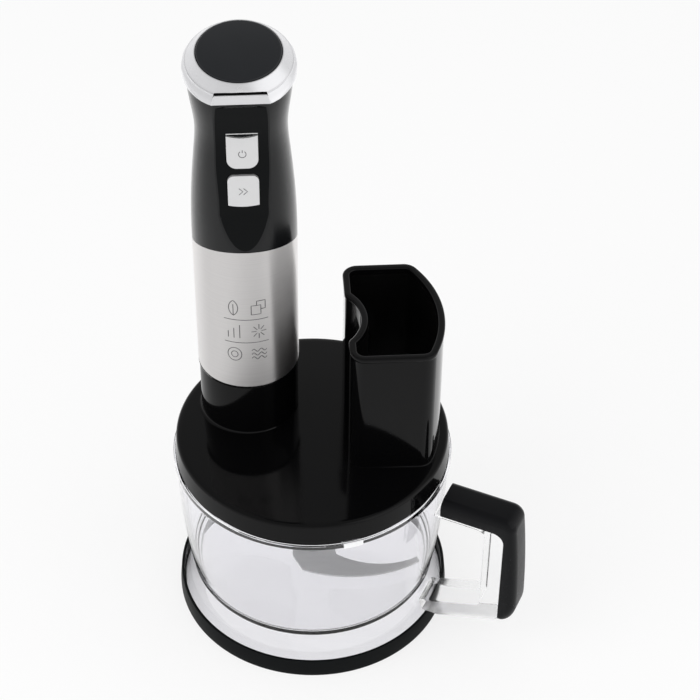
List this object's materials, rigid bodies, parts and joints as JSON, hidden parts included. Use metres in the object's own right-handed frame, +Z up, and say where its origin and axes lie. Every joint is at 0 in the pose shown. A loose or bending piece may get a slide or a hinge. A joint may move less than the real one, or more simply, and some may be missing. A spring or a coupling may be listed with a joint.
{
  "type": "stick blender with processor bowl",
  "caption": "Stick blender motor handle plugged into the lid of a clear food-processor bowl with side handle, feed tube and blade.",
  "frame": {"origin": "on the bowl's axis, on the underside of the base disc that stands on the worktop", "axes": "+Z up along the bowl's axis; -Y towards the front, where the two buttons face; +X to the side of the feed tube"},
  "size_m": [0.2089, 0.164, 0.3759],
  "materials": {
    "black_rubber": "matt black rubber",
    "clear_plastic": "clear moulded plastic, slightly grey at its edges",
    "soft_black": "soft-touch black",
    "gloss_black": "polished black",
    "steel": "plain steel",
    "brushed_sleeve": "steel brushed round the sleeve",
    "silver_plastic": "satin chrome on plastic",
    "white_plastic": "white moulded plastic",
    "gear_plastic": "natural acetal",
    "bronze": "sintered bronze",
    "board_green": "green laminate",
    "core_steel": "varnished core and windings",
    "carbon": "carbon",
    "copper": "copper bars"
  },
  "bodies": {
    "base": {"non_slip_ring": "black_rubber", "base_disc": "clear_plastic"},
    "bowl_unit": {"bowl": "clear_plastic", "handle_frame": "clear_plastic", "handle_grip": "soft_black", "spindle_pin": "steel"},
    "blade": {"blade_hub": "white_plastic", "lower_blade": "steel", "upper_blade": "steel"},
    "lid": {"lid_shell": "gloss_black", "gearbox_cover": "gloss_black", "gearbox_screws": "steel", "idler_pin": "steel", "output_bush": "bronze"},
    "input_drive": {"input_gear": "gear_plastic"},
    "idler": {"idler_gear": "gear_plastic"},
    "output_drive": {"output_gear": "gear_plastic"},
    "motor_unit": {"coupling_nose": "gloss_black", "steel_sleeve": "brushed_sleeve", "grip_shell": "soft_black", "control_panel": "gloss_black", "micro_switches": "soft_black", "control_board": "board_green", "top_ring": "silver_plastic", "speed_control": "soft_black", "cord_gland": "black_rubber", "motor_frame": "gear_plastic", "field_core": "core_steel", "brushes": "carbon", "lower_bearing": "steel", "upper_bearing": "steel"},
    "rotor": {"armature": "core_steel", "commutator": "copper", "motor_shaft": "steel", "cooling_fan": "gear_plastic", "drive_coupling": "steel"},
    "dial": {"speed_dial": "soft_black"},
    "power": {"power_button": "silver_plastic"},
    "turbo": {"turbo_button": "silver_plastic"}
  },
  "joints": [
    {"name": "bowl_lift", "type": "slide", "parent": "base", "child": "bowl_unit", "axis": [0, 0, 1], "range_m": [0, 0.03]},
    {"name": "blade_spin", "type": "hinge", "parent": "bowl_unit", "child": "blade", "pos_m": [0, 0, 0.045], "axis": [0, 0, 1], "continuous": true},
    {"name": "lid_twist", "type": "hinge", "parent": "bowl_unit", "child": "lid", "pos_m": [0, 0, 0.1245], "axis": [0, 0, 1], "range_deg": [0, 7.5]},
    {"name": "input_spin", "type": "hinge", "parent": "lid", "child": "input_drive", "pos_m": [-0.03673, 0.0226, 0.118], "axis": [0, 0, 1], "continuous": true},
    {"name": "idler_spin", "type": "hinge", "parent": "lid", "child": "idler", "pos_m": [-0.02396, 0.01474, 0.118], "axis": [0, 0, 1], "continuous": true},
    {"name": "output_spin", "type": "hinge", "parent": "lid", "child": "output_drive", "pos_m": [0, 0, 0.118], "axis": [0, 0, 1], "continuous": true},
    {"name": "unit_plug", "type": "slide", "parent": "lid", "child": "motor_unit", "axis": [0, 0, 1], "range_m": [0, 0.035]},
    {"name": "rotor_spin", "type": "hinge", "parent": "motor_unit", "child": "rotor", "pos_m": [-0.03673, 0.0226, 0.2], "axis": [0, 0, 1], "continuous": true},
    {"name": "dial_turn", "type": "hinge", "parent": "motor_unit", "child": "dial", "pos_m": [-0.03685, 0.02475, 0.36093], "axis": [0.0106, -0.1957, 0.9806], "range_deg": [-270, 0]},
    {"name": "power_press", "type": "slide", "parent": "motor_unit", "child": "power", "axis": [-0.0541, 0.9985, 0], "range_m": [0, 0.002], "stiffness_N_per_m": 800, "springref_m": -0.001},
    {"name": "turbo_press", "type": "slide", "parent": "motor_unit", "child": "turbo", "axis": [-0.0541, 0.9985, 0], "range_m": [0, 0.002], "stiffness_N_per_m": 800, "springref_m": -0.001}
  ],
  "couplings": [
    {"joint": "input_spin", "follows": "rotor_spin", "ratio": 1},
    {"joint": "idler_spin", "follows": "rotor_spin", "ratio": -1},
    {"joint": "output_spin", "follows": "rotor_spin", "ratio": 0.36364},
    {"joint": "blade_spin", "follows": "rotor_spin", "ratio": 0.36364}
  ]
}
